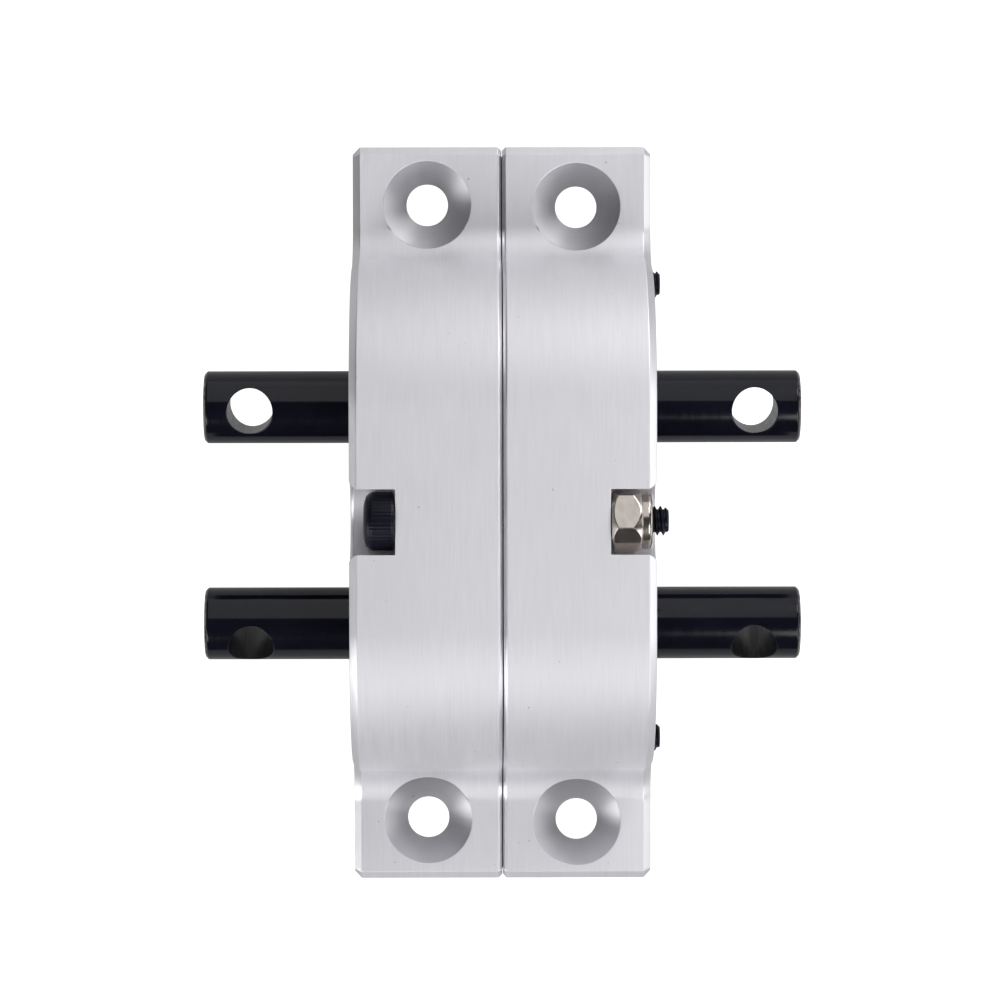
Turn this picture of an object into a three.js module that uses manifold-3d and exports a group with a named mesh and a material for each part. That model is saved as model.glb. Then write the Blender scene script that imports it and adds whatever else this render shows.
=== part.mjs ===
// Two-shaft gear transfer case for a small remote-controlled crawler: a split aluminium housing
// with two parallel steel shafts, a pair of equal spur gears and four shielded ball bearings.
// Units are millimetres. X runs along the shafts, Y across them, Z is up and the origin lies
// in the middle of the flat underside.
import * as THREE from 'three';
import { mergeVertices } from 'three/addons/utils/BufferGeometryUtils.js';
import Module from 'manifold-3d';

const wasm = await Module();
wasm.setup();

// ---- Driving dimensions -------------------------------------------------------------------

// Housing
const CASE_HALF_WIDTH = 10.35;
const CASE_HALF_LENGTH = 25.5;
const PARTING_HALF_GAP = 0.05;
const SHAFT_Y = 7.5;
const SHAFT_Z = 10.2;
const CROWN_RADIUS = 10.2;
const SIDE_Y = 17.7;
const EAR_BOTTOM_Z = 7.0;
const EAR_TOP_Z = 9.0;
const EAR_FILLET = 2.5;
const BASE_CORNER = 1.2;
const OUTER_CHAMFER = 0.5;
const PARTING_CHAMFER = 0.35;

// Holes in the housing
const EAR_HOLE = { x: 5.18, y: 21.4, radius: 1.5, sinkRadius: 3.05 };
const CAVITY_RADIUS = 8.5;
const CAVITY_HALF_WIDTH = 4.6;
const SHAFT_OPENING_RADIUS = 4.0;
const COUNTERBORE_RADIUS = 2.65;
const COUNTERBORE_FLOOR_X = 7.25;
const SCREW_HOLE_RADIUS = 1.1;
const CENTRE_SCREW = { y: 0, z: 18.9 };
const OUTER_SCREW = { y: 16.0, z: 4.6 };

// Shafts
const SHAFT_RADIUS = 2.5;
const SHAFT_LENGTH = 41.3;
const SHAFT_CHAMFER = 0.35;
const CROSS_HOLE_RADIUS = 1.55;
const CROSS_HOLE_INSET = 3.2;
const INPUT_TILT = THREE.MathUtils.degToRad(6.4);
const OUTPUT_TILT = THREE.MathUtils.degToRad(40);

// Gears
const MODULE = 0.6;
const TEETH = 25;
const PRESSURE_ANGLE = THREE.MathUtils.degToRad(20);
const ADDENDUM = MODULE;
const DEDENDUM = 1.25 * MODULE;
const TOOTH_THINNING = 0.08;
const FLANK_STEPS = 3;
const GEAR_HALF_WIDTH = 3.0;
const FIT = 0.05;

// Gear drive pins
const PIN_RADIUS = 1.0;
const PIN_LENGTH = 9.2;
const PIN_X = -2.0;

// Ball bearings, 5 x 11 x 4
const BEARING_X = 6.6;
const BEARING_RADIUS = 5.5;
const BEARING_HALF_WIDTH = 1.98;
const BALL_COUNT = 7;
const BALL_RADIUS = 0.79;
const BALL_PITCH_RADIUS = 4.0;
const GROOVE_HALF_WIDTH = 0.65;
const INNER_LAND_RADIUS = 3.3;
const OUTER_LAND_RADIUS = 4.7;
const GROOVE_DEPTH = 0.3;
const CAGE = { inner: 3.75, outer: 4.25, halfWidth: 0.5 };
const SHIELD = { inner: 3.45, outer: 4.6, near: 1.7, far: 1.9 };
const SPACER = { inner: SHAFT_RADIUS + FIT, outer: 3.3, near: 3.05, far: 4.57 };

// M2 cap screws with locking nuts
const SCREW = {
  headEnd: -9.38,
  headSeat: -7.28,
  tip: 11.15,
  headRadius: 1.9,
  headChamfer: 0.25,
  shankRadius: 1.0,
  tipChamfer: 0.3,
  socketFlats: 1.5,
  socketDepth: 1.1,
};
const NUT = {
  seat: 7.3,
  shoulder: 9.35,
  end: 10.05,
  flats: 4.0,
  chamfer: 0.2,
  collarRadius: 1.92,
  boreRadius: 1.03,
  pocketRadius: 1.6,
  pocketEnd: 9.97,
  lipRadius: 1.35,
};
const INSERT = { near: 9.4, far: 9.93, inner: 1.05, outer: 1.55 };
const CENTRE_NUT_TURN = THREE.MathUtils.degToRad(15);
const UPPER_NUT_TURN = THREE.MathUtils.degToRad(8);
const LOWER_NUT_TURN = THREE.MathUtils.degToRad(24);

// Dowels that line up the housing halves
const DOWEL = { y: 15.4, z: 1.75, radius: 0.75, halfLength: 3.0, fit: 0.04 };

// Facets round a full turn
const CASE_FACETS = 32;
const SHAFT_FACETS = 32;
const SMALL_FACETS = 16;
const SCREW_FACETS = 16;
const DOWEL_FACETS = 12;
const BALL_FACETS = 6;
const BALL_BANDS = 4;
const CROWN_STEPS = 10;
const FILLET_STEPS = 4;

// ---- Materials ----------------------------------------------------------------------------

function metal(name, color, roughness) {
  return new THREE.MeshStandardMaterial({ name, color, roughness, metalness: 1.0 });
}

const ALUMINIUM = metal('case_aluminium', 0xd2d1d6, 0.42);
const BLACK_SHAFT = metal('black_shaft_steel', 0x101014, 0.32);
const BLACK_SCREW = metal('black_screw_steel', 0x14151a, 0.4);
const GEAR_STEEL = metal('gear_steel', 0x5d5e62, 0.38);
const BEARING_STEEL = metal('bearing_steel', 0xb9babd, 0.22);
const NICKEL = metal('nickel_plate', 0x9b8f83, 0.24);
const BRIGHT_PIN = metal('ground_pin_steel', 0xa6a7aa, 0.25);
const NYLON = new THREE.MeshStandardMaterial({
  name: 'nylon',
  color: 0xdedbcf,
  roughness: 0.6,
  metalness: 0.0,
});

// ---- Solids -------------------------------------------------------------------------------

// Triangle corners without the slivers that collapse where a turned shape meets its axis.
function wholeTriangles(index) {
  const kept = [];
  for (let i = 0; i < index.length; i += 3) {
    const [a, b, c] = [index[i], index[i + 1], index[i + 2]];
    if (a !== b && b !== c && c !== a) {
      kept.push(a, b, c);
    }
  }
  return new Uint32Array(kept);
}

function solid(geometry) {
  const bare = geometry.clone();
  bare.deleteAttribute('normal');
  bare.deleteAttribute('uv');
  const merged = mergeVertices(bare, 1e-4);
  const triVerts = wholeTriangles(merged.index.array);
  const vertProperties = merged.attributes.position.array;
  return new wasm.Manifold(new wasm.Mesh({ numProp: 3, vertProperties, triVerts }));
}

function geometryOf(body) {
  const mesh = body.getMesh();
  const geometry = new THREE.BufferGeometry();
  geometry.setAttribute('position', new THREE.BufferAttribute(mesh.vertProperties, 3));
  geometry.setIndex(new THREE.BufferAttribute(mesh.triVerts, 1));
  geometry.computeVertexNormals();
  return geometry;
}

function cutAll(body, tools) {
  return tools.reduce((rest, tool) => rest.subtract(tool), body);
}

// A solid turned about the X axis from [x, radius] points. They run towards +X along the
// outside; a ring's points go on back along its bore and end where they began.
function turned(points, facets) {
  const profile = points.map(([x, radius]) => new THREE.Vector2(radius, x));
  const geometry = new THREE.LatheGeometry(profile, facets);
  geometry.rotateZ(-Math.PI / 2);
  return solid(geometry);
}

function rod(radius, near, far, facets) {
  return turned([[near, 0], [near, radius], [far, radius], [far, 0]], facets);
}

function ring(inner, outer, near, far, facets) {
  const corners = [[near, outer], [far, outer], [far, inner], [near, inner], [near, outer]];
  return turned(corners, facets);
}

function rodAt(radius, near, far, y, z, facets = CASE_FACETS) {
  return rod(radius, near, far, facets).translate([0, y, z]);
}

// A flat outline in Y and Z, given a thickness along X.
function prism(points, near, far, bevel = 0) {
  const geometry = new THREE.ExtrudeGeometry(new THREE.Shape(points), {
    depth: far - near - 2 * bevel,
    bevelEnabled: bevel > 0,
    bevelThickness: bevel,
    bevelSize: bevel,
    bevelOffset: -bevel,
    bevelSegments: 1,
  });
  const towardsY = new THREE.Vector3(0, 1, 0);
  const towardsZ = new THREE.Vector3(0, 0, 1);
  const towardsX = new THREE.Vector3(1, 0, 0);
  geometry.translate(0, 0, near + bevel);
  geometry.applyMatrix4(new THREE.Matrix4().makeBasis(towardsY, towardsZ, towardsX));
  return solid(geometry);
}

function box(x, y, z, sizeX, sizeY, sizeZ) {
  const geometry = new THREE.BoxGeometry(sizeX, sizeY, sizeZ);
  geometry.translate(x, y, z);
  return solid(geometry);
}

function arc(centreY, centreZ, radius, from, to, steps) {
  const points = [];
  for (let i = 0; i <= steps; i += 1) {
    const angle = from + ((to - from) * i) / steps;
    const y = centreY + radius * Math.cos(angle);
    const z = centreZ + radius * Math.sin(angle);
    points.push(new THREE.Vector2(y, z));
  }
  return points;
}

function hexagon(flats, turn) {
  return arc(0, 0, flats / Math.sqrt(3), turn, turn + (Math.PI * 5) / 3, 5);
}

// ---- Housing ------------------------------------------------------------------------------

// The +Y half of the section, from the underside up to the crown: side wall, mounting ear,
// hollow fillet and the round crown about the shaft.
function sectionSide() {
  const filletZ = EAR_TOP_Z + EAR_FILLET;
  const reach = CROWN_RADIUS + EAR_FILLET;
  const rise = filletZ - SHAFT_Z;
  const filletY = SHAFT_Y + Math.sqrt(reach ** 2 - rise ** 2);
  const tangent = Math.asin(rise / reach);
  return [
    new THREE.Vector2(SIDE_Y - BASE_CORNER, 0),
    new THREE.Vector2(SIDE_Y, BASE_CORNER),
    new THREE.Vector2(SIDE_Y, EAR_BOTTOM_Z),
    new THREE.Vector2(CASE_HALF_LENGTH - OUTER_CHAMFER, EAR_BOTTOM_Z),
    new THREE.Vector2(CASE_HALF_LENGTH, EAR_BOTTOM_Z + OUTER_CHAMFER),
    new THREE.Vector2(CASE_HALF_LENGTH, EAR_TOP_Z - OUTER_CHAMFER),
    new THREE.Vector2(CASE_HALF_LENGTH - OUTER_CHAMFER, EAR_TOP_Z),
    ...arc(filletY, filletZ, EAR_FILLET, -Math.PI / 2, tangent - Math.PI, FILLET_STEPS),
    ...arc(SHAFT_Y, SHAFT_Z, CROWN_RADIUS, tangent, Math.PI / 2, CROWN_STEPS).slice(1),
  ];
}

function caseSection() {
  const side = sectionSide();
  const otherSide = side.map((point) => new THREE.Vector2(-point.x, point.y)).reverse();
  return [...side, ...otherSide];
}

function earHole(y) {
  const { radius, sinkRadius } = EAR_HOLE;
  const sinkDepth = sinkRadius - radius;
  const upwards = [
    [EAR_BOTTOM_Z - 1, 0],
    [EAR_BOTTOM_Z - 1, radius],
    [EAR_TOP_Z - sinkDepth, radius],
    [EAR_TOP_Z, sinkRadius],
    [EAR_TOP_Z + EAR_FILLET, sinkRadius],
    [EAR_TOP_Z + EAR_FILLET, 0],
  ];
  return turned(upwards, CASE_FACETS).rotate([0, -90, 0]).translate([EAR_HOLE.x, y, 0]);
}

function shaftPocket(y) {
  const seatRadius = BEARING_RADIUS + FIT;
  const seatEnd = BEARING_X + 2;
  return [
    rodAt(CAVITY_RADIUS, -1, CAVITY_HALF_WIDTH, y, SHAFT_Z),
    rodAt(seatRadius, CAVITY_HALF_WIDTH - 1, seatEnd, y, SHAFT_Z),
    rodAt(SHAFT_OPENING_RADIUS, seatEnd - 1, CASE_HALF_WIDTH + 1, y, SHAFT_Z),
  ];
}

function screwPocket(y, z) {
  return [
    rodAt(SCREW_HOLE_RADIUS, -1, CASE_HALF_WIDTH + 1, y, z, SCREW_FACETS),
    rodAt(COUNTERBORE_RADIUS, COUNTERBORE_FLOOR_X, CASE_HALF_WIDTH + 1, y, z),
  ];
}

function dowelHole(y) {
  const radius = DOWEL.radius + DOWEL.fit;
  return rodAt(radius, -1, DOWEL.halfLength + DOWEL.fit, y, DOWEL.z, DOWEL_FACETS);
}

// The +X half. The other one is the same piece turned half round about Z. Its inner chamfer is
// the outer one cut back, so that both come from one bevelled prism.
function caseHalf() {
  const near = PARTING_HALF_GAP - (OUTER_CHAMFER - PARTING_CHAMFER);
  const blank = prism(caseSection(), near, CASE_HALF_WIDTH, OUTER_CHAMFER);
  const spill = 1;
  const trim = box(
    PARTING_HALF_GAP - spill / 2, 0, CROWN_RADIUS,
    spill, 3 * CASE_HALF_LENGTH, 4 * CROWN_RADIUS,
  );
  return geometryOf(cutAll(blank, [
    trim,
    earHole(EAR_HOLE.y),
    earHole(-EAR_HOLE.y),
    ...shaftPocket(SHAFT_Y),
    ...shaftPocket(-SHAFT_Y),
    ...screwPocket(CENTRE_SCREW.y, CENTRE_SCREW.z),
    ...screwPocket(OUTER_SCREW.y, OUTER_SCREW.z),
    ...screwPocket(-OUTER_SCREW.y, OUTER_SCREW.z),
    dowelHole(DOWEL.y),
    dowelHole(-DOWEL.y),
  ]));
}

// ---- Shafts, gears and pins ---------------------------------------------------------------

// A rod across the shaft: it points up, leaning by the tilt towards -Y.
function crossRod(radius, length, x, tilt, facets) {
  const upright = rod(radius, -length / 2, length / 2, facets).rotate([0, -90, 0]);
  return upright.rotate([THREE.MathUtils.radToDeg(tilt), 0, 0]).translate([x, 0, 0]);
}

function shaft(tilt) {
  const end = SHAFT_LENGTH / 2;
  const blank = turned([
    [-end, 0],
    [-end, SHAFT_RADIUS - SHAFT_CHAMFER],
    [-end + SHAFT_CHAMFER, SHAFT_RADIUS],
    [end - SHAFT_CHAMFER, SHAFT_RADIUS],
    [end, SHAFT_RADIUS - SHAFT_CHAMFER],
    [end, 0],
  ], SHAFT_FACETS);
  const across = 3 * SHAFT_RADIUS;
  const holeX = end - CROSS_HOLE_INSET;
  return geometryOf(cutAll(blank, [
    crossRod(CROSS_HOLE_RADIUS, across, -holeX, tilt, SMALL_FACETS),
    crossRod(CROSS_HOLE_RADIUS, across, holeX, tilt, SMALL_FACETS),
    crossRod(PIN_RADIUS + FIT, across, PIN_X, tilt, DOWEL_FACETS),
  ]));
}

function involute(angle) {
  return Math.tan(angle) - angle;
}

// Half the angle that a tooth takes up at a radius.
function toothHalfAngle(radius) {
  const pitchRadius = (MODULE * TEETH) / 2;
  const baseRadius = pitchRadius * Math.cos(PRESSURE_ANGLE);
  const atPitch = (Math.PI * MODULE / 2 - TOOTH_THINNING) / 2 / pitchRadius;
  const flank = Math.acos(Math.min(1, baseRadius / radius));
  return atPitch + involute(PRESSURE_ANGLE) - involute(flank);
}

function gearOutline() {
  const pitchRadius = (MODULE * TEETH) / 2;
  const baseRadius = pitchRadius * Math.cos(PRESSURE_ANGLE);
  const tipRadius = pitchRadius + ADDENDUM;
  const radii = [pitchRadius - DEDENDUM];
  for (let i = 0; i < FLANK_STEPS; i += 1) {
    radii.push(baseRadius + ((tipRadius - baseRadius) * i) / (FLANK_STEPS - 1));
  }
  const points = [];
  for (let tooth = 0; tooth < TEETH; tooth += 1) {
    const middle = (2 * Math.PI * tooth) / TEETH;
    const rising = radii.map((radius) => [radius, middle - toothHalfAngle(radius)]);
    const falling = radii.map((radius) => [radius, middle + toothHalfAngle(radius)]);
    for (const [radius, angle] of [...rising, ...falling.reverse()]) {
      points.push(new THREE.Vector2(radius * Math.cos(angle), radius * Math.sin(angle)));
    }
  }
  return points;
}

// The slot across the -X face takes the pin that drives the gear.
function gear(tilt) {
  const blank = prism(gearOutline(), -GEAR_HALF_WIDTH, GEAR_HALF_WIDTH);
  const bore = rod(SHAFT_RADIUS + FIT, -GEAR_HALF_WIDTH - 1, GEAR_HALF_WIDTH + 1, SHAFT_FACETS);
  const slotFloor = PIN_X + PIN_RADIUS + FIT;
  const slotMouth = -GEAR_HALF_WIDTH - 1;
  const slot = box(
    (slotFloor + slotMouth) / 2, 0, 0,
    slotFloor - slotMouth, 2 * (PIN_RADIUS + FIT), PIN_LENGTH + 4 * FIT,
  );
  return geometryOf(cutAll(blank, [
    bore,
    slot.rotate([THREE.MathUtils.radToDeg(tilt), 0, 0]),
  ]));
}

function drivePin(tilt) {
  return geometryOf(crossRod(PIN_RADIUS, PIN_LENGTH, PIN_X, tilt, DOWEL_FACETS));
}

function spacer() {
  return geometryOf(ring(SPACER.inner, SPACER.outer, SPACER.near, SPACER.far, SMALL_FACETS));
}

// ---- Bearings -----------------------------------------------------------------------------

function bearingOuterRing() {
  return geometryOf(turned([
    [-BEARING_HALF_WIDTH, BEARING_RADIUS],
    [BEARING_HALF_WIDTH, BEARING_RADIUS],
    [BEARING_HALF_WIDTH, OUTER_LAND_RADIUS],
    [GROOVE_HALF_WIDTH, OUTER_LAND_RADIUS],
    [0, OUTER_LAND_RADIUS + GROOVE_DEPTH],
    [-GROOVE_HALF_WIDTH, OUTER_LAND_RADIUS],
    [-BEARING_HALF_WIDTH, OUTER_LAND_RADIUS],
    [-BEARING_HALF_WIDTH, BEARING_RADIUS],
  ], SMALL_FACETS));
}

function bearingInnerRing() {
  return geometryOf(turned([
    [-BEARING_HALF_WIDTH, INNER_LAND_RADIUS],
    [-GROOVE_HALF_WIDTH, INNER_LAND_RADIUS],
    [0, INNER_LAND_RADIUS - GROOVE_DEPTH],
    [GROOVE_HALF_WIDTH, INNER_LAND_RADIUS],
    [BEARING_HALF_WIDTH, INNER_LAND_RADIUS],
    [BEARING_HALF_WIDTH, SHAFT_RADIUS + FIT],
    [-BEARING_HALF_WIDTH, SHAFT_RADIUS + FIT],
    [-BEARING_HALF_WIDTH, INNER_LAND_RADIUS],
  ], SMALL_FACETS));
}

function ballCage() {
  let body = ring(CAGE.inner, CAGE.outer, -CAGE.halfWidth, CAGE.halfWidth, SMALL_FACETS);
  for (let i = 0; i < BALL_COUNT; i += 1) {
    const angle = (2 * Math.PI * i) / BALL_COUNT;
    const ball = solid(new THREE.SphereGeometry(BALL_RADIUS, BALL_FACETS, BALL_BANDS));
    const y = BALL_PITCH_RADIUS * Math.cos(angle);
    const z = BALL_PITCH_RADIUS * Math.sin(angle);
    body = body.add(ball.translate([0, y, z]));
  }
  return geometryOf(body);
}

function shield() {
  return geometryOf(ring(SHIELD.inner, SHIELD.outer, SHIELD.near, SHIELD.far, SMALL_FACETS));
}

// ---- Fasteners ----------------------------------------------------------------------------

function capScrew() {
  const blank = turned([
    [SCREW.headEnd, 0],
    [SCREW.headEnd, SCREW.headRadius - SCREW.headChamfer],
    [SCREW.headEnd + SCREW.headChamfer, SCREW.headRadius],
    [SCREW.headSeat, SCREW.headRadius],
    [SCREW.headSeat, SCREW.shankRadius],
    [SCREW.tip - SCREW.tipChamfer, SCREW.shankRadius],
    [SCREW.tip, SCREW.shankRadius - SCREW.tipChamfer],
    [SCREW.tip, 0],
  ], SCREW_FACETS);
  const floor = SCREW.headEnd + SCREW.socketDepth;
  return geometryOf(blank.subtract(prism(hexagon(SCREW.socketFlats, 0), SCREW.headEnd - 1, floor)));
}

// Hexagon with turned corners, a round collar and the pocket that holds the nylon ring.
function lockNut(turn) {
  const corner = NUT.flats / Math.sqrt(3);
  const turnedCorners = turned([
    [NUT.seat, 0],
    [NUT.seat, corner - NUT.chamfer],
    [NUT.seat + NUT.chamfer / 2, corner],
    [NUT.shoulder - NUT.chamfer, corner],
    [NUT.shoulder, NUT.collarRadius],
    [NUT.shoulder, 0],
  ], SCREW_FACETS);
  const hex = prism(hexagon(NUT.flats, Math.PI / 2 + turn), NUT.seat, NUT.shoulder);
  const collar = turned([
    [NUT.shoulder - NUT.chamfer, 0],
    [NUT.shoulder - NUT.chamfer, NUT.collarRadius],
    [NUT.end - NUT.chamfer, NUT.collarRadius],
    [NUT.end, NUT.collarRadius - NUT.chamfer],
    [NUT.end, 0],
  ], SCREW_FACETS);
  const bore = turned([
    [NUT.seat - 1, 0],
    [NUT.seat - 1, NUT.boreRadius],
    [NUT.shoulder, NUT.boreRadius],
    [NUT.shoulder, NUT.pocketRadius],
    [NUT.pocketEnd, NUT.pocketRadius],
    [NUT.pocketEnd, NUT.lipRadius],
    [NUT.end + 1, NUT.lipRadius],
    [NUT.end + 1, 0],
  ], SCREW_FACETS);
  return geometryOf(hex.intersect(turnedCorners).add(collar).subtract(bore));
}

function nylonRing() {
  return geometryOf(ring(INSERT.inner, INSERT.outer, INSERT.near, INSERT.far, SCREW_FACETS));
}

function dowelPin() {
  return geometryOf(rod(DOWEL.radius, -DOWEL.halfLength, DOWEL.halfLength, DOWEL_FACETS));
}

// ---- Assembly -----------------------------------------------------------------------------

function named(name, geometry, material) {
  const mesh = new THREE.Mesh(geometry, material);
  mesh.name = name;
  return mesh;
}

function housing() {
  const group = new THREE.Group();
  const half = caseHalf();
  const left = named('case_half_left', half, ALUMINIUM);
  left.rotation.z = Math.PI;
  group.add(named('case_half_right', half, ALUMINIUM), left);
  for (const [side, y] of [['upper', DOWEL.y], ['lower', -DOWEL.y]]) {
    const pin = named(`case_dowel_${side}`, dowelPin(), BRIGHT_PIN);
    pin.position.set(0, y, DOWEL.z);
    group.add(pin);
  }
  return group;
}

// One bearing, its outer shield facing out of the housing.
function bearing(name, side) {
  const group = new THREE.Group();
  group.position.x = side * BEARING_X;
  const innerShield = named(`${name}_inner_shield`, shield(), BEARING_STEEL);
  const outerShield = named(`${name}_outer_shield`, shield(), BEARING_STEEL);
  innerShield.rotation.z = side > 0 ? Math.PI : 0;
  outerShield.rotation.z = side > 0 ? 0 : Math.PI;
  group.add(
    named(`${name}_outer_ring`, bearingOuterRing(), BEARING_STEEL),
    named(`${name}_inner_ring`, bearingInnerRing(), BEARING_STEEL),
    named(`${name}_ball_cage`, ballCage(), BEARING_STEEL),
    innerShield,
    outerShield,
  );
  return group;
}

// A shaft with everything that sits on it.
function shaftLine(name, y, tilt) {
  const group = new THREE.Group();
  group.position.set(0, y, SHAFT_Z);
  group.add(
    named(`${name}_shaft`, shaft(tilt), BLACK_SHAFT),
    named(`${name}_gear`, gear(tilt), GEAR_STEEL),
    named(`${name}_gear_pin`, drivePin(tilt), BRIGHT_PIN),
  );
  for (const [label, side] of [['left', -1], ['right', 1]]) {
    const shim = named(`${name}_spacer_${label}`, spacer(), BEARING_STEEL);
    shim.rotation.z = side > 0 ? 0 : Math.PI;
    group.add(shim, bearing(`${name}_bearing_${label}`, side));
  }
  return group;
}

function clampScrew(name, place, nutTurn) {
  const group = new THREE.Group();
  group.position.set(0, place.y, place.z);
  group.add(
    named(`${name}_screw`, capScrew(), BLACK_SCREW),
    named(`${name}_nut`, lockNut(nutTurn), NICKEL),
    named(`${name}_nut_insert`, nylonRing(), NYLON),
  );
  return group;
}

const group = new THREE.Group();
group.add(
  housing(),
  shaftLine('input', SHAFT_Y, INPUT_TILT),
  shaftLine('output', -SHAFT_Y, OUTPUT_TILT),
  clampScrew('centre', CENTRE_SCREW, CENTRE_NUT_TURN),
  clampScrew('upper', OUTER_SCREW, UPPER_NUT_TURN),
  clampScrew('lower', { y: -OUTER_SCREW.y, z: OUTER_SCREW.z }, LOWER_NUT_TURN),
);

export default group;
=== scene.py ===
"""Looks of a two-shaft gear transfer case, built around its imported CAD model.

Every piece is made in millimetres about its own axis, then put in place in metres. X runs along
the shafts, Y across them and Z is up.
"""

import math

import bmesh
import bpy
from mathutils import Matrix, Vector


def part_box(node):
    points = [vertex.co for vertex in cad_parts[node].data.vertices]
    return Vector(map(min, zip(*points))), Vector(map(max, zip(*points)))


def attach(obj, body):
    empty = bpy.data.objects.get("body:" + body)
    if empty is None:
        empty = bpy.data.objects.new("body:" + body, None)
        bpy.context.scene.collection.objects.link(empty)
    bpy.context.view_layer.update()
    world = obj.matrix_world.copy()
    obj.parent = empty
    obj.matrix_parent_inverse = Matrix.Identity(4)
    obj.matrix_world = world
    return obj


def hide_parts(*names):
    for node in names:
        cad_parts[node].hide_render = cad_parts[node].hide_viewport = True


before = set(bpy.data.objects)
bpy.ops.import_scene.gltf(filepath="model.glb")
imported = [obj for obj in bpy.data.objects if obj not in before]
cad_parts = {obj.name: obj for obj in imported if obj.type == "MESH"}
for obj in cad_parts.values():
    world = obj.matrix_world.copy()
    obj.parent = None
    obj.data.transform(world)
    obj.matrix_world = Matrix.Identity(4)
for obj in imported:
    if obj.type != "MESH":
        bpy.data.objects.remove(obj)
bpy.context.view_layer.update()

MM = 0.001
FULL_TURN = 2 * math.pi

# ---- Sizes, in millimetres ----------------------------------------------------------------


def box_mm(node):
    low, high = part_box(node)
    return low / MM, high / MM


case_high = box_mm("case_half_right")[1]
shaft_low, shaft_high = box_mm("input_shaft")
screw_low, screw_high = box_mm("centre_screw")
outer_low, outer_high = box_mm("upper_screw")
nut_low, nut_high = box_mm("centre_nut")
insert_low, insert_high = box_mm("centre_nut_insert")
gear_high = box_mm("input_gear")[1]
dowel_low, dowel_high = box_mm("case_dowel_upper")

JOINT_GAP = 0.005
SLIT_WIDTH = 0.025
SLIT_DEPTH = 0.7
CASE_X = case_high.x
CASE_Y = case_high.y
SHAFT_Y = (shaft_low.y + shaft_high.y) / 2
SHAFT_Z = (shaft_low.z + shaft_high.z) / 2
SHAFT_END = shaft_high.x
SHAFT_RADIUS = (shaft_high.y - shaft_low.y) / 2

CROWN_RADIUS = case_high.z - SHAFT_Z
SIDE_Y = SHAFT_Y + CROWN_RADIUS
EAR_BOTTOM_Z = 7.0
EAR_TOP_Z = 9.0
EAR_FILLET = 2.5
BASE_CORNER = 1.2
OUTER_CHAMFER = 0.5
MOUTH_CHAMFER = 0.2
PARTING_CHAMFER = 0.27
EAR_HOLE_X = 5.18
EAR_HOLE_Y = 21.4
EAR_HOLE_DRIFT = 0.1
EAR_HOLE_RADIUS = 1.44
SINK_RADIUS = 3.05
CAVITY_RADIUS = 8.5
CAVITY_END = 4.6
SEAT_RADIUS = 5.55
SEAT_END = 8.6
OPENING_RADIUS = 4.0
COUNTERBORE_RADIUS = 2.65
COUNTERBORE_FLOOR = 7.25
SCREW_HOLE_RADIUS = 1.1

SHAFT_TRIM = 0.08
CROSS_HOLE_RADIUS = 1.57
CROSS_HOLE_X = SHAFT_END - 3.28
SHAFT_CHAMFER = 0.22
INPUT_TILT = math.radians(6.4)
OUTPUT_TILT = math.radians(40)
PIN_X = -2.0
PIN_RADIUS = 1.0
PIN_LENGTH = 9.2
FIT = 0.05

GEAR_MODULE = 0.6
GEAR_TEETH = 25
GEAR_WIDTH = gear_high.x
TOOTH_THINNING = 0.08
PRESSURE_ANGLE = math.radians(20)
PITCH_CIRCLE = GEAR_MODULE * GEAR_TEETH / 2
BASE_CIRCLE = PITCH_CIRCLE * math.cos(PRESSURE_ANGLE)
DEDENDUM = 1.25 * GEAR_MODULE

SPACER_NEAR = 3.05
SPACER_FAR = 4.57
SPACER_OUTER = 3.3

BEARING_X = 6.6
BEARING_HALF = 1.98
BALLS = 7
BALL_RADIUS = 0.79
BALL_PITCH = 4.0
TRACK_CLEARANCE = 0.03
RING_FIT = 0.02
CAGE_HALF = 0.5
CAGE_INNER = 3.75
CAGE_OUTER = 4.25

HEAD_END = screw_low.x
HEAD_SEAT = -7.28
HEAD_GROWTH = 0.08
HEAD_RADIUS = (screw_high.y - screw_low.y) / 2 + HEAD_GROWTH
SCREW_TIP = screw_high.x
SHANK_RADIUS = 1.0
THREAD_PITCH = 0.4
THREAD_DEPTH = 0.23
THREAD_START = 5.0
THREAD_CREST = 0.125
THREAD_FLANK = 0.625
KNURL_RIDGES = 48
KNURL_DEPTH = 0.035
NUT_FLATS = 4.0
NUT_SEAT = nut_low.x
NUT_SHOULDER = 9.35
NUT_END = nut_high.x
NUT_BORE = 1.03
RING_SEAT = 1.6
LIP_RADIUS = 1.35
COLLAR_RADIUS = 1.92
CENTRE_NUT_TURN = math.radians(9.5)
UPPER_NUT_TURN = math.radians(8)
LOWER_NUT_TURN = math.radians(24)

CENTRE_SCREW = (0.0, (screw_low.z + screw_high.z) / 2)
UPPER_SCREW = ((outer_low.y + outer_high.y) / 2, (outer_low.z + outer_high.z) / 2)
LOWER_SCREW = (-UPPER_SCREW[0], UPPER_SCREW[1])
DOWEL_Y = (dowel_low.y + dowel_high.y) / 2
DOWEL_Z = (dowel_low.z + dowel_high.z) / 2
DOWEL_RADIUS = (dowel_high.y - dowel_low.y) / 2

ROUND = 96
SMALL_ROUND = 64
SHAFT_ROUND = 128
NUT_ROUND = 144

# ---- Mesh tools ---------------------------------------------------------------------------


def new_object(name, mesh_builder):
    bmesh.ops.recalc_face_normals(mesh_builder, faces=mesh_builder.faces)
    mesh = bpy.data.meshes.new(name)
    mesh_builder.to_mesh(mesh)
    mesh_builder.free()
    piece = bpy.data.objects.new(name, mesh)
    bpy.context.scene.collection.objects.link(piece)
    return piece


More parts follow.
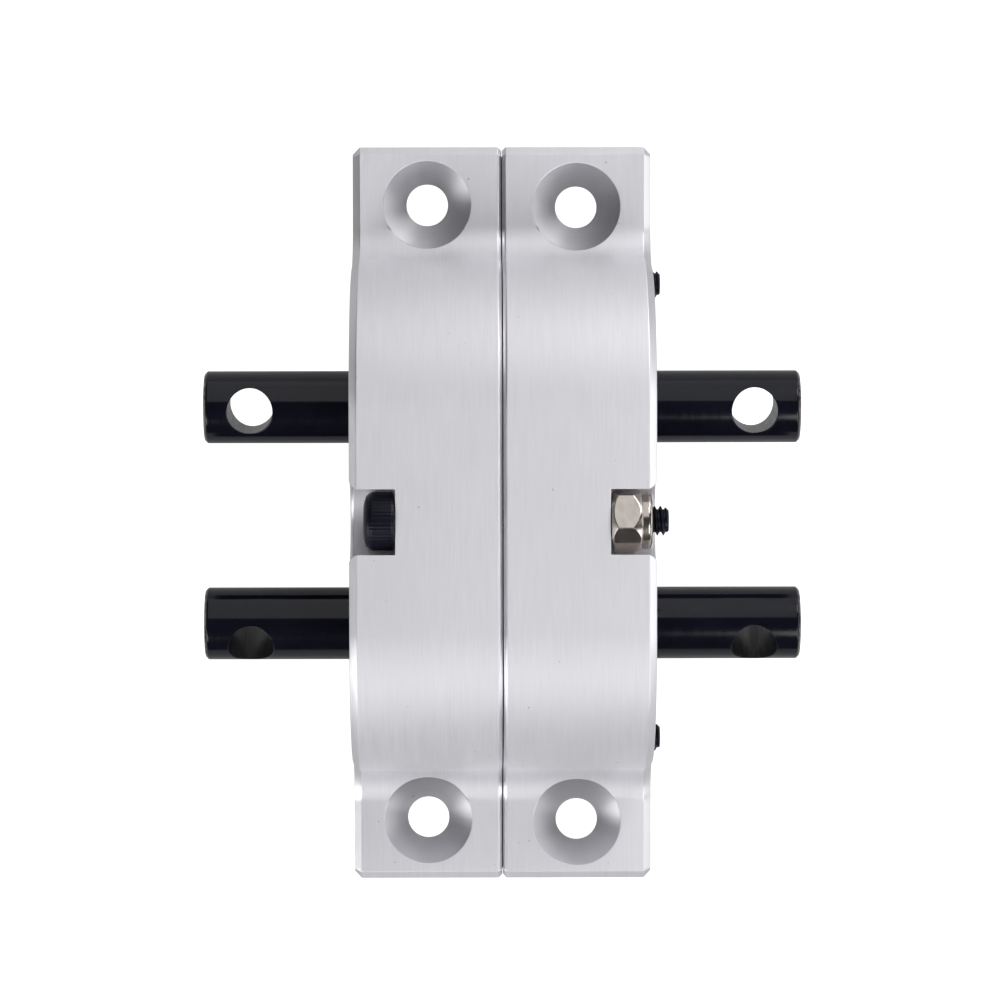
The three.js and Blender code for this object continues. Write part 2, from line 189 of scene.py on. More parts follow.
def skin(name, rows, ring=False):
    """A closed mesh through rows of points that all have the same count. A ring's last row
    joins its first; otherwise both ends are closed with a flat face."""
    builder = bmesh.new()
    made = [[builder.verts.new(point) for point in row] for row in rows]
    pairs = list(zip(made, made[1:]))
    if ring:
        pairs.append((made[-1], made[0]))
    for near, far in pairs:
        count = len(near)
        for i in range(count):
            j = (i + 1) % count
            builder.faces.new((near[i], near[j], far[j], far[i]))
    if not ring:
        builder.faces.new(made[0])
        builder.faces.new(made[-1])
    return new_object(name, builder)


def circle_row(x, radius, count):
    angles = [FULL_TURN * i / count for i in range(count)]
    return [(x, radius * math.cos(a), radius * math.sin(a)) for a in angles]


def lathe(name, profile, count=ROUND, ring=False):
    """A turned piece about X from (x, radius) points."""
    return skin(name, [circle_row(x, radius, count) for x, radius in profile], ring)


def rod_profile(low, high, radius, bevel):
    """A rod's (x, radius) points, with both ends bevelled."""
    return [
        (low, radius - bevel),
        (low + bevel, radius),
        (high - bevel, radius),
        (high, radius - bevel),
    ]


def sleeve_profile(near, far, inner, outer, bevel):
    """A sleeve's closed outline as (x, radius) points, with four bevels."""
    return [
        *rod_profile(near, far, outer, bevel),
        (far, inner + bevel), (far - bevel, inner), (near + bevel, inner), (near, inner + bevel),
    ]


def arc(centre, radius, start, end, steps):
    points = []
    for i in range(steps + 1):
        angle = start + (end - start) * i / steps
        points.append(Vector((centre[0] + radius * math.cos(angle),
                              centre[1] + radius * math.sin(angle))))
    return points


def paint(piece, bands, index, count=ROUND):
    """Gives the bands between a skin's rows a material index, before the piece is cut."""
    for face in piece.data.polygons:
        if face.index // count in bands:
            face.material_index = index


def inset(points, distance):
    """A closed outline, anticlockwise, moved inwards by a distance."""
    shifted = []
    for i, point in enumerate(points):
        before = (point - points[i - 1]).normalized()
        after = (points[(i + 1) % len(points)] - point).normalized()
        left_before = Vector((-before.y, before.x))
        left_after = Vector((-after.y, after.x))
        miter = (left_before + left_after) / (1 + left_before.dot(left_after))
        shifted.append(point + miter * distance)
    return shifted


def prism(name, sections):
    """A solid through (x, outline) sections, each outline being Y and Z points."""
    return skin(name, [[(x, p.x, p.y) for p in outline] for x, outline in sections])


def moved(piece, offset=(0, 0, 0), turn=0.0, axis="X"):
    matrix = Matrix.Translation(offset) @ Matrix.Rotation(turn, 4, axis)
    piece.data.transform(matrix)
    return piece


def apply_modifiers(piece):
    graph = bpy.context.evaluated_depsgraph_get()
    baked = bpy.data.meshes.new_from_object(piece.evaluated_get(graph))
    old = piece.data
    piece.modifiers.clear()
    piece.data = baked
    bpy.data.meshes.remove(old)


def combine(piece, tool, operation):
    step = piece.modifiers.new(operation.lower(), "BOOLEAN")
    step.operation = operation
    step.solver = "EXACT"
    step.object = tool
    apply_modifiers(piece)
    mesh = tool.data
    bpy.data.objects.remove(tool)
    bpy.data.meshes.remove(mesh)
    return piece


def cut(piece, *tools):
    for tool in tools:
        combine(piece, tool, "DIFFERENCE")
    return piece


def soften(piece, width, limit=30, segments=2):
    """Rounds the sharp edges a little and shades the rest smooth."""
    for face in piece.data.polygons:
        face.use_smooth = True
    rounding = piece.modifiers.new("edge_round", "BEVEL")
    rounding.width = width
    rounding.segments = segments
    rounding.limit_method = "ANGLE"
    rounding.angle_limit = math.radians(limit)
    rounding.use_clamp_overlap = False
    rounding.miter_outer = "MITER_ARC"
    normals = piece.modifiers.new("normals", "WEIGHTED_NORMAL")
    normals.keep_sharp = False
    apply_modifiers(piece)
    return piece


def place(piece, body, nodes, material, y=0.0, z=0.0):
    """Puts a finished piece in the shared frame, in metres, on its body."""
    piece.data.transform(Matrix.Scale(MM, 4) @ Matrix.Translation((0, y, z)))
    if not piece.data.materials:
        piece.data.materials.append(material)
    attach(piece, body)
    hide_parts(*nodes)
    return piece


# ---- Material tools -----------------------------------------------------------------------


def node(tree, kind, inputs=None, **settings):
    """A shader node. An input that is a socket is linked, and any other is a value."""
    made = tree.nodes.new(kind)
    for name, value in settings.items():
        setattr(made, name, value)
    for name, value in (inputs or {}).items():
        if isinstance(value, bpy.types.NodeSocket):
            tree.links.new(value, made.inputs[name])
        else:
            made.inputs[name].default_value = value
    return made


def new_material(name, metallic, roughness):
    material = bpy.data.materials.new(name)
    material.use_nodes = True
    surface = material.node_tree.nodes["Principled BSDF"]
    surface.inputs["Metallic"].default_value = metallic
    surface.inputs["Roughness"].default_value = roughness
    return material, material.node_tree, surface


def place_scaled(tree, scale):
    coordinates = node(tree, "ShaderNodeTexCoord").outputs["Object"]
    mapping = node(tree, "ShaderNodeMapping", {"Vector": coordinates, "Scale": scale})
    return mapping.outputs["Vector"]


def noise(tree, scale, detail=3.0, roughness=0.6):
    made = node(tree, "ShaderNodeTexNoise", {
        "Vector": place_scaled(tree, scale),
        "Scale": 1.0,
        "Detail": detail,
        "Roughness": roughness,
    })
    return made.outputs["Fac"]


def remap(tree, value, from_low, from_high, to_low, to_high):
    made = node(tree, "ShaderNodeMapRange", {
        "Value": value,
        "From Min": from_low,
        "From Max": from_high,
        "To Min": to_low,
        "To Max": to_high,
    })
    return made.outputs["Result"]


def math_node(tree, operation, first, second=0.0):
    made = node(tree, "ShaderNodeMath", operation=operation)
    for socket, value in zip(made.inputs, (first, second)):
        if isinstance(value, bpy.types.NodeSocket):
            tree.links.new(value, socket)
        else:
            socket.default_value = value
    return made.outputs["Value"]


def mix_colour(tree, factor, first, second):
    made = tree.nodes.new("ShaderNodeMix")
    made.data_type = "RGBA"
    colours = [s for s in made.inputs if s.type == "RGBA"]
    for socket, value in zip([made.inputs["Factor"], *colours], (factor, first, second)):
        if isinstance(value, bpy.types.NodeSocket):
            tree.links.new(value, socket)
        elif socket.type == "RGBA":
            socket.default_value = (*value, 1.0)
        else:
            socket.default_value = value
    return next(s for s in made.outputs if s.type == "RGBA")


def bump(tree, height, distance, strength=1.0):
    made = node(tree, "ShaderNodeBump", {
        "Height": height,
        "Distance": distance,
        "Strength": strength,
    })
    return made.outputs["Normal"]


# ---- Materials ----------------------------------------------------------------------------

ALONG_Y_GRAIN = (7000, 300, 300)
RING_GRAIN = (9000, 60, 60)
SINK_GRAIN = (60, 60, 9000)
WORN_REACH = 0.16
WORN_FADE = 0.06
WORN_FACE_NEAR = 0.13
WORN_FACE_FAR = 0.15


def aluminium(name, grain_scale, tint, roughness, anisotropy, tangent_axis):
    """Bare machined aluminium with fine tool marks."""
    material, tree, surface = new_material(name, 1.0, roughness)
    grain = noise(tree, grain_scale, 4.0, 0.65)
    cloud = noise(tree, (120, 60, 60), 2.0, 0.5)
    streaks = mix_colour(tree, remap(tree, grain, 0.3, 0.7, 0.0, 1.0),
                         [c * 0.96 for c in tint], [min(c * 1.025, 1.0) for c in tint])
    shade = mix_colour(tree, remap(tree, cloud, 0.35, 0.65, 0.0, 0.35),
                       streaks, [c * 0.93 for c in tint])
    specks = noise(tree, (2600, 2600, 2600), 1.0, 0.5)
    pits = remap(tree, specks, 0.79, 0.82, 0.0, 0.5)
    colour = mix_colour(tree, pits, shade, (0.25, 0.24, 0.24))
    tree.links.new(colour, surface.inputs["Base Color"])
    rough = remap(tree, grain, 0.25, 0.75, roughness - 0.03, roughness + 0.035)
    tree.links.new(rough, surface.inputs["Roughness"])
    surface.inputs["Anisotropic"].default_value = anisotropy
    tangent = node(tree, "ShaderNodeTangent", direction_type="RADIAL", axis=tangent_axis)
    tree.links.new(tangent.outputs["Tangent"], surface.inputs["Tangent"])
    tree.links.new(bump(tree, grain, 1.0e-6), surface.inputs["Normal"])
    return material


def black_oxide(name, tint, roughness, shine, worn_from=None):
    """Blackened steel, turned. Past worn_from along the shaft its rim is worn bare in spots."""
    material, tree, surface = new_material(name, 0.0, roughness)
    surface.inputs["Specular IOR Level"].default_value = shine
    rings = noise(tree, RING_GRAIN, 3.0, 0.6)
    blotch = noise(tree, (500, 500, 500), 4.0, 0.6)
    colour = mix_colour(tree, remap(tree, blotch, 0.3, 0.7, 0.0, 1.0),
                        tint, [c * 1.6 + 0.0006 for c in tint])
    if worn_from is not None:
        coordinates = node(tree, "ShaderNodeTexCoord").outputs["Object"]
        split = node(tree, "ShaderNodeSeparateXYZ", {"Vector": coordinates})
        reach = math_node(tree, "ABSOLUTE", split.outputs["X"])
        rim = remap(tree, reach, worn_from, worn_from + WORN_FADE * MM, 0.0, 1.0)
        face = remap(tree, reach, worn_from + WORN_FACE_NEAR * MM,
                     worn_from + WORN_FACE_FAR * MM, 1.0, 0.08)
        patches = noise(tree, (900, 1400, 1400), 3.0, 0.7)
        spots = remap(tree, patches, 0.42, 0.6, 0.0, 0.9)
        worn = math_node(tree, "MULTIPLY", math_node(tree, "MULTIPLY", rim, face), spots)
        colour = mix_colour(tree, worn, colour, (0.36, 0.30, 0.28))
        tree.links.new(math_node(tree, "MULTIPLY", worn, 0.8), surface.inputs["Metallic"])
    tree.links.new(colour, surface.inputs["Base Color"])
    tree.links.new(remap(tree, rings, 0.3, 0.7, roughness - 0.02, roughness + 0.05),
                   surface.inputs["Roughness"])
    tree.links.new(bump(tree, rings, 0.6e-6), surface.inputs["Normal"])
    return material


def steel(name, tint, roughness, stain):
    """Bare, ground or plated steel with faint stains."""
    material, tree, surface = new_material(name, 1.0, roughness)
    rings = noise(tree, RING_GRAIN, 2.0, 0.5)
    blotch = noise(tree, (700, 700, 700), 4.0, 0.65)
    colour = mix_colour(tree, remap(tree, blotch, 0.4, 0.75, 0.0, 0.6), tint, stain)
    tree.links.new(colour, surface.inputs["Base Color"])
    tree.links.new(remap(tree, blotch, 0.3, 0.7, roughness - 0.03, roughness + 0.08),
                   surface.inputs["Roughness"])
    tree.links.new(bump(tree, rings, 0.5e-6), surface.inputs["Normal"])
    return material


def grime_material():
    """Oily dirt in the joint between the halves, brown in places."""
    material, tree, surface = new_material("joint_grime", 0.0, 0.6)
    patches = noise(tree, (900, 900, 900), 3.0, 0.6)
    colour = mix_colour(tree, remap(tree, patches, 0.45, 0.65, 0.0, 1.0),
                        (0.12, 0.11, 0.105), (0.26, 0.12, 0.09))
    tree.links.new(colour, surface.inputs["Base Color"])
    return material


def nylon_material():
    material, tree, surface = new_material("nylon", 0.0, 0.5)
    cloud = noise(tree, (1500, 1500, 1500), 3.0, 0.6)
    colour = mix_colour(tree, remap(tree, cloud, 0.3, 0.7, 0.0, 1.0),
                        (0.74, 0.72, 0.66), (0.86, 0.85, 0.8))
    tree.links.new(colour, surface.inputs["Base Color"])
    tree.links.new(bump(tree, cloud, 4e-6), surface.inputs["Normal"])
    return material


CASE_TINT = (0.85, 0.845, 0.88)
CASE = aluminium("case_aluminium", ALONG_Y_GRAIN, CASE_TINT, 0.58, 0.5, "X")
# The countersinks and ear holes get a turned grain and a tint darker than the case. The grain is
# real; the darker tint is painted shade in these hollows.
SINK_SHADE_TINT = (0.66, 0.655, 0.685)
SINK = aluminium("countersink_aluminium", SINK_GRAIN, SINK_SHADE_TINT, 0.45, 0.2, "Z")
EDGE = aluminium("chamfer_aluminium", ALONG_Y_GRAIN, CASE_TINT, 0.35, 0.4, "X")
GRIME = grime_material()
BLUE_BLACK = (0.0028, 0.0033, 0.0075)
SHAFT_BLACK = black_oxide("black_shaft_steel", BLUE_BLACK, 0.11, 0.35,
                          (SHAFT_END - SHAFT_TRIM - WORN_REACH) * MM)
DRILLED_BLACK = black_oxide("drilled_shaft_steel", (0.012, 0.012, 0.016), 0.28, 0.8)
SCREW_BLACK = black_oxide("black_screw_steel", (0.0032, 0.0035, 0.009), 0.32, 0.2)
GEAR_STEEL = steel("gear_steel", (0.36, 0.36, 0.38), 0.34, (0.2, 0.19, 0.18))
BEARING_STEEL = steel("bearing_steel", (0.66, 0.66, 0.68), 0.2, (0.5, 0.49, 0.48))
PIN_STEEL = steel("ground_pin_steel", (0.6, 0.6, 0.62), 0.24, (0.45, 0.44, 0.43))
NICKEL = steel("nickel_plate", (0.63, 0.58, 0.54), 0.16, (0.42, 0.36, 0.32))
NYLON = nylon_material()

# ---- Housing ------------------------------------------------------------------------------

CROWN_STEPS = 48
FILLET_STEPS = 20
SINK_INDEX = 1
EDGE_INDEX = 2
GRIME_INDEX = 3


def section_side():
    """The +Y half of the housing's section, from the underside up to the crown."""
    fillet_z = EAR_TOP_Z + EAR_FILLET
    reach = CROWN_RADIUS + EAR_FILLET
    rise = fillet_z - SHAFT_Z
    fillet_y = SHAFT_Y + math.sqrt(reach ** 2 - rise ** 2)
    tangent = math.asin(rise / reach)
    return [
        Vector((SIDE_Y - BASE_CORNER, 0)),
        Vector((SIDE_Y, BASE_CORNER)),
        Vector((SIDE_Y, EAR_BOTTOM_Z)),
        Vector((CASE_Y - OUTER_CHAMFER, EAR_BOTTOM_Z)),
        Vector((CASE_Y, EAR_BOTTOM_Z + OUTER_CHAMFER)),
        Vector((CASE_Y, EAR_TOP_Z - OUTER_CHAMFER)),
        Vector((CASE_Y - OUTER_CHAMFER, EAR_TOP_Z)),
        *arc((fillet_y, fillet_z), EAR_FILLET, -math.pi / 2, tangent - math.pi, FILLET_STEPS),
        *arc((SHAFT_Y, SHAFT_Z), CROWN_RADIUS, tangent, math.pi / 2, CROWN_STEPS)[1:],
    ]


def case_section():
    side = section_side()
    return side + [Vector((-p.x, p.y)) for p in reversed(side)]


def housing_materials(piece):
    for material in (CASE, SINK, EDGE, GRIME):
        piece.data.materials.append(material)


def ear_hole_tool(y):
    sink_depth = SINK_RADIUS - EAR_HOLE_RADIUS
    tool = lathe("ear_hole_tool", [
        (EAR_BOTTOM_Z - 1, EAR_HOLE_RADIUS),
        (EAR_TOP_Z - sink_depth, EAR_HOLE_RADIUS),
        (EAR_TOP_Z, SINK_RADIUS),
        (EAR_TOP_Z + EAR_FILLET, SINK_RADIUS),
    ])
    tool.data.transform(Matrix.Rotation(-math.pi / 2, 4, "Y"))
    housing_materials(tool)
    paint(tool, (0, 1, 2), SINK_INDEX)
    return moved(tool, (EAR_HOLE_X, y, 0))


def shaft_tool(y):
    tool = lathe("shaft_tool", [
        (-1, CAVITY_RADIUS),
        (CAVITY_END, CAVITY_RADIUS),
        (CAVITY_END, SEAT_RADIUS),
        (SEAT_END, SEAT_RADIUS),
        (SEAT_END, OPENING_RADIUS),
        (CASE_X - MOUTH_CHAMFER, OPENING_RADIUS),
        (CASE_X + MOUTH_CHAMFER, OPENING_RADIUS + 2 * MOUTH_CHAMFER),
    ])
    housing_materials(tool)
    paint(tool, (5,), EDGE_INDEX)
    return moved(tool, (0, y, SHAFT_Z))


def screw_tool(place_yz):
    tool = lathe("screw_tool", [
        (-1, SCREW_HOLE_RADIUS),
        (COUNTERBORE_FLOOR, SCREW_HOLE_RADIUS),
        (COUNTERBORE_FLOOR, COUNTERBORE_RADIUS),
        (CASE_X - MOUTH_CHAMFER, COUNTERBORE_RADIUS),
        (CASE_X + MOUTH_CHAMFER, COUNTERBORE_RADIUS + 2 * MOUTH_CHAMFER),
    ])
    housing_materials(tool)
    paint(tool, (3,), EDGE_INDEX)
    return moved(tool, (0, *place_yz))


def dowel_tool(y):
    fit = 0.04
    tool = lathe("dowel_tool", [
        (-1, DOWEL_RADIUS + fit),
        (dowel_high.x + fit, DOWEL_RADIUS + fit),
    ], SMALL_ROUND)
    return moved(tool, (0, y, DOWEL_Z))


def case_half(name):
    """The +X half of the housing."""
    outline = case_section()
    half = prism(name, [
        (JOINT_GAP, inset(outline, SLIT_DEPTH)),
        (SLIT_WIDTH, inset(outline, SLIT_DEPTH - 0.01)),
        (SLIT_WIDTH, inset(outline, PARTING_CHAMFER - SLIT_WIDTH)),
        (PARTING_CHAMFER, outline),
        (CASE_X - OUTER_CHAMFER, outline),
        (CASE_X, inset(outline, OUTER_CHAMFER)),
    ])
    housing_materials(half)
    paint(half, (0, 1), GRIME_INDEX, len(outline))
    paint(half, (2, 4), EDGE_INDEX, len(outline))
    cut(
        half,
        ear_hole_tool(EAR_HOLE_Y - EAR_HOLE_DRIFT / 2),
        ear_hole_tool(-EAR_HOLE_Y - EAR_HOLE_DRIFT),
        shaft_tool(SHAFT_Y),
        shaft_tool(-SHAFT_Y),
        screw_tool(CENTRE_SCREW),
        screw_tool(UPPER_SCREW),
        screw_tool(LOWER_SCREW),
        dowel_tool(DOWEL_Y),
        dowel_tool(-DOWEL_Y),
    )
    return soften(half, 0.05)


def build_housing():
    right = case_half("housing_right")
    left = bpy.data.objects.new("housing_left", right.data.copy())
    bpy.context.scene.collection.objects.link(left)
    moved(left, turn=math.pi, axis="Z")
    for half, side in ((right, "right"), (left, "left")):
        half.data.transform(Matrix.Scale(MM, 4))
        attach(half, "case")
        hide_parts(f"case_half_{side}")
    for side, y in (("upper", DOWEL_Y), ("lower", -DOWEL_Y)):
        bevel = 0.2
        outline = rod_profile(dowel_low.x, dowel_high.x, DOWEL_RADIUS, bevel)
        pin = lathe(f"dowel_{side}", outline, SMALL_ROUND)
        soften(pin, 0.03)
        place(pin, "case", [f"case_dowel_{side}"], PIN_STEEL, y, DOWEL_Z)


# ---- Shafts and gears ---------------------------------------------------------------------

DRILLED_INDEX = 1


def shaft_materials(piece):
    piece.data.materials.append(SHAFT_BLACK)
    piece.data.materials.append(DRILLED_BLACK)


def cross_tool(radius, length, x, tilt, count=ROUND):
    """Drills through a shaft, and leaves its own material on the hole's wall."""
    tool = lathe("cross_tool", [(-length / 2, radius), (length / 2, radius)], count)
    shaft_materials(tool)
    for face in tool.data.polygons:
        face.material_index = DRILLED_INDEX
    tool.data.transform(Matrix.Rotation(-math.pi / 2, 4, "Y"))
    return moved(tool, (x, 0, 0), tilt)


def shaft(name, tilt):
    end = SHAFT_END - SHAFT_TRIM
    rod = lathe(name, rod_profile(-end, end, SHAFT_RADIUS, SHAFT_CHAMFER), SHAFT_ROUND)
    shaft_materials(rod)
    across = 3 * SHAFT_RADIUS
    cut(
        rod,
        cross_tool(CROSS_HOLE_RADIUS, across, -CROSS_HOLE_X, tilt),
        cross_tool(CROSS_HOLE_RADIUS, across, CROSS_HOLE_X, tilt),
        cross_tool(PIN_RADIUS + FIT, across, PIN_X, tilt, SMALL_ROUND),
    )
    return soften(rod, 0.06, segments=3)


def involute(angle):
    return math.tan(angle) - angle


def tooth_half_angle(radius):
    at_pitch = (math.pi * GEAR_MODULE / 2 - TOOTH_THINNING) / 2 / PITCH_CIRCLE
    flank = math.acos(min(1.0, BASE_CIRCLE / radius))
    return at_pitch + involute(PRESSURE_ANGLE) - involute(flank)


def gear_outline(steps=6):
    tip_circle = PITCH_CIRCLE + GEAR_MODULE
    radii = [PITCH_CIRCLE - DEDENDUM]
    radii += [BASE_CIRCLE + (tip_circle - BASE_CIRCLE) * i / (steps - 1) for i in range(steps)]
    points = []
    for tooth in range(GEAR_TEETH):
        middle = FULL_TURN * tooth / GEAR_TEETH
        rising = [(r, middle - tooth_half_angle(r)) for r in radii]
        falling = [(r, middle + tooth_half_angle(r)) for r in reversed(radii)]
        points += [Vector((r * math.cos(a), r * math.sin(a))) for r, a in rising + falling]
    return points


def gear(name, tilt):
    outline = gear_outline()
    edge = 0.08
    wheel = prism(name, [
        (-GEAR_WIDTH, inset(outline, edge)),
        (-GEAR_WIDTH + edge, outline),
        (GEAR_WIDTH - edge, outline),
        (GEAR_WIDTH, inset(outline, edge)),
    ])
    bore = lathe("bore_tool", [(-GEAR_WIDTH - 1, SHAFT_RADIUS + FIT),
                               (GEAR_WIDTH + 1, SHAFT_RADIUS + FIT)])
    floor = PIN_X + PIN_RADIUS + FIT
    wide = PIN_RADIUS + FIT
    long = PIN_LENGTH / 2 + 2 * FIT
    corners = [Vector((-wide, -long)), Vector((wide, -long)),
               Vector((wide, long)), Vector((-wide, long))]
    slot = prism("slot_tool", [(-GEAR_WIDTH - 1, corners), (floor, corners)])
    cut(wheel, bore, moved(slot, turn=tilt))
    return soften(wheel, 0.03, limit=50, segments=1)


def drive_pin(name, tilt):
    bevel = 0.15
    half = PIN_LENGTH / 2
    pin = lathe(name, rod_profile(-half, half, PIN_RADIUS, bevel), SMALL_ROUND)
    pin.data.transform(Matrix.Rotation(-math.pi / 2, 4, "Y"))
    return soften(moved(pin, (PIN_X, 0, 0), tilt), 0.03)


# ---- Bearings -----------------------------------------------------------------------------


def groove(centre_radius, sign, land_radius):
    """The ball track of a ring, from its -X edge to its +X edge, as (x, radius) points."""
    track_radius = BALL_RADIUS + TRACK_CLEARANCE
    reach = abs(land_radius - centre_radius)
    half = math.sqrt(track_radius ** 2 - reach ** 2)
    swing = math.atan2(half, reach)
    points = []
    for i in range(13):
        angle = -swing + 2 * swing * i / 12
        points.append((track_radius * math.sin(angle),
                       centre_radius + sign * track_radius * math.cos(angle)))
    return points


def outer_ring(name):
    land, bevel, outer = 4.66, 0.15, 5.5
    half = BEARING_HALF
    profile = [
        (-half, outer - bevel), (-half + bevel, outer),
        (half - bevel, outer), (half, outer - bevel),
        (half, land + bevel), (half - bevel, land),
        *reversed(groove(BALL_PITCH, 1, land)),
        (-half + bevel, land), (-half, land + bevel),
    ]
    return soften(lathe(name, profile, ROUND, ring=True), 0.02)


def inner_ring(name):
    land, bevel, inner = 3.34, 0.12, SHAFT_RADIUS + RING_FIT
    half = BEARING_HALF
    profile = [
        (-half, land - bevel), (-half + bevel, land),
        *groove(BALL_PITCH, -1, land),
        (half - bevel, land), (half, land - bevel),
        (half, inner + bevel), (half - bevel, inner),
        (-half + bevel, inner), (-half, inner + bevel),
    ]
    return soften(lathe(name, profile, ROUND, ring=True), 0.02)


def ball_cage(name):
    cage = lathe(name, [
        (-CAGE_HALF, CAGE_OUTER),
        (CAGE_HALF, CAGE_OUTER),
        (CAGE_HALF, CAGE_INNER),
        (-CAGE_HALF, CAGE_INNER),
    ], ROUND, ring=True)
    for i in range(BALLS):
        angle = FULL_TURN * i / BALLS
        builder = bmesh.new()
        bmesh.ops.create_uvsphere(builder, u_segments=24, v_segments=16, radius=BALL_RADIUS)
        ball = new_object("ball_tool", builder)
        centre = (0, BALL_PITCH * math.cos(angle), BALL_PITCH * math.sin(angle))
        combine(cage, moved(ball, centre), "UNION")
    for face in cage.data.polygons:
        face.use_smooth = True
    return cage


def shield(name):
    """A pressed cover with a raised step and a rolled inner edge, facing +X."""
    profile = [
        (1.70, 4.6), (1.78, 4.6), (1.80, 4.3), (1.88, 4.22), (1.90, 4.1),
        (1.90, 3.62), (1.87, 3.54), (1.78, 3.47), (1.74, 3.45),
        (1.70, 3.50), (1.76, 3.62), (1.78, 4.05), (1.72, 4.25),
    ]
    return soften(lathe(name, profile, ROUND, ring=True), 0.01, limit=50, segments=1)


def build_bearing(line, side, sign, y):
    name = f"{line}_{side}_bearing"
    node_name = f"{line}_bearing_{side}"
    parts = [
        (outer_ring(f"{name}_outer"), "case", "outer_ring", False),
        (inner_ring(f"{name}_inner"), f"{line}_line", "inner_ring", False),
        (ball_cage(f"{name}_balls"), f"{line}_{side}_balls", "ball_cage", False),
        (shield(f"{name}_cover_out"), "case", "outer_shield", sign < 0),
        (shield(f"{name}_cover_in"), "case", "inner_shield", sign > 0),
    ]
    for piece, body, part, flipped in parts:
        moved(piece, turn=math.pi if flipped else 0.0, axis="Z")
        moved(piece, (sign * BEARING_X, 0, 0))
        place(piece, body, [f"{node_name}_{part}"], BEARING_STEEL, y, SHAFT_Z)


def spacer(name, sign):
    profile = sleeve_profile(SPACER_NEAR, SPACER_FAR, SHAFT_RADIUS + FIT, SPACER_OUTER, 0.12)
    piece = soften(lathe(name, profile, ROUND, ring=True), 0.02)
    return moved(piece, turn=math.pi if sign < 0 else 0.0, axis="Z")


def build_line(line, y, tilt):
    body = f"{line}_line"
    place(shaft(f"{line}_rod", tilt), body, [f"{line}_shaft"],
          SHAFT_BLACK, y, SHAFT_Z)
    place(gear(f"{line}_wheel", tilt), body, [f"{line}_gear"],
          GEAR_STEEL, y, SHAFT_Z)
    place(drive_pin(f"{line}_key", tilt), body, [f"{line}_gear_pin"],
          PIN_STEEL, y, SHAFT_Z)
    for side, sign in (("left", -1), ("right", 1)):
        place(spacer(f"{line}_sleeve_{side}", sign), body, [f"{line}_spacer_{side}"],
              BEARING_STEEL, y, SHAFT_Z)
        build_bearing(line, side, sign, y)


# ---- Screws and nuts ----------------------------------------------------------------------


def thread_profile(phase):
    """How deep the thread is cut, from 0 on its crest to 1 on its root, across one pitch."""
    from_crest = abs(phase - 0.5) * 2
    return min(1.0, max(0.0, (from_crest - THREAD_CREST) / THREAD_FLANK))


def shank_radius(x, angle):
    phase = (x / THREAD_PITCH - angle / FULL_TURN) % 1.0
    run_out = min(1.0, max(0.0, (x - THREAD_START) / THREAD_PITCH))
    threaded = SHANK_RADIUS - THREAD_DEPTH * thread_profile(phase) * run_out
    tip_cone = SHANK_RADIUS - 0.3 + (SCREW_TIP - x)
    return min(threaded, tip_cone)


def threaded_shank(name, count=48):
    """A rod with a true helical thread: its rows follow the helix, so its crests are edges."""
    start, end = THREAD_START, SCREW_TIP
    phases = (0.125, 0.3125, 0.4375, 0.5625, 0.6875, 0.875)
    first = math.floor(start / THREAD_PITCH) - 2
    last = math.ceil(end / THREAD_PITCH) + 2
    rows = []
    for turn in range(first, last):
        rows += [(turn + phase) * THREAD_PITCH for phase in phases]
    builder = bmesh.new()
    grid = []
    for row_x in rows:
        line = []
        for i in range(count + 1):
            angle = FULL_TURN * i / count
            x = min(end, max(start, row_x + THREAD_PITCH * i / count))
            radius = shank_radius(x, angle)
            point = (x, radius * math.cos(angle), radius * math.sin(angle))
            line.append(builder.verts.new(point))
        grid.append(line)
    for near, far in zip(grid, grid[1:]):
        for i in range(count):
            builder.faces.new((near[i], near[i + 1], far[i + 1], far[i]))
    bmesh.ops.remove_doubles(builder, verts=builder.verts, dist=1e-5)
    bmesh.ops.dissolve_degenerate(builder, edges=builder.edges, dist=1e-5)
    open_edges = [edge for edge in builder.edges if edge.is_boundary]
    bmesh.ops.holes_fill(builder, edges=open_edges, sides=0)
    return new_object(name, builder)


def knurled_head(name):
    """A cap screw's head with straight knurling and a plain shank; cap_screw cuts its hexagon
    socket.
    """
    count = KNURL_RIDGES * 4
    rows = [
        (HEAD_END, HEAD_RADIUS - 0.85, 0.0),
        (HEAD_END + 0.05, HEAD_RADIUS - 0.62, 0.0),
        (HEAD_END + 0.18, HEAD_RADIUS - 0.26, 0.0),
        (HEAD_END + 0.4, HEAD_RADIUS - 0.08, 0.2),
        (HEAD_END + 0.6, HEAD_RADIUS, 1.0),
        (HEAD_SEAT - 0.24, HEAD_RADIUS, 1.0),
        (HEAD_SEAT - 0.12, HEAD_RADIUS - 0.02, 0.35),
        (HEAD_SEAT, HEAD_RADIUS - 0.12, 0.0),
    ]
    levels = (0.0, 0.5, 1.0, 0.5)
    points = []
    for x, radius, depth in rows:
        row = []
        for i in range(count):
            angle = FULL_TURN * i / count
            local = radius - KNURL_DEPTH * depth * levels[i % 4]
            row.append((x, local * math.cos(angle), local * math.sin(angle)))
        points.append(row)
    head = skin(name, points)
    neck = lathe("neck_tool", [(HEAD_SEAT - 0.5, SHANK_RADIUS), (THREAD_START + 0.01, SHANK_RADIUS)],
                 48)
    combine(head, neck, "UNION")
    return head


def hexagon(flats, turn=0.0):
    return arc((0, 0), flats / math.sqrt(3), turn, turn + FULL_TURN * 5 / 6, 5)


def cap_screw(name):
    head = knurled_head(name)
    combine(head, threaded_shank("thread_tool"), "UNION")
    socket = hexagon(1.5)
    floor = HEAD_END + 1.1
    cut(head, prism("socket_tool", [(HEAD_END - 1, socket), (floor, socket)]))
    return soften(head, 0.012, limit=50, segments=1)


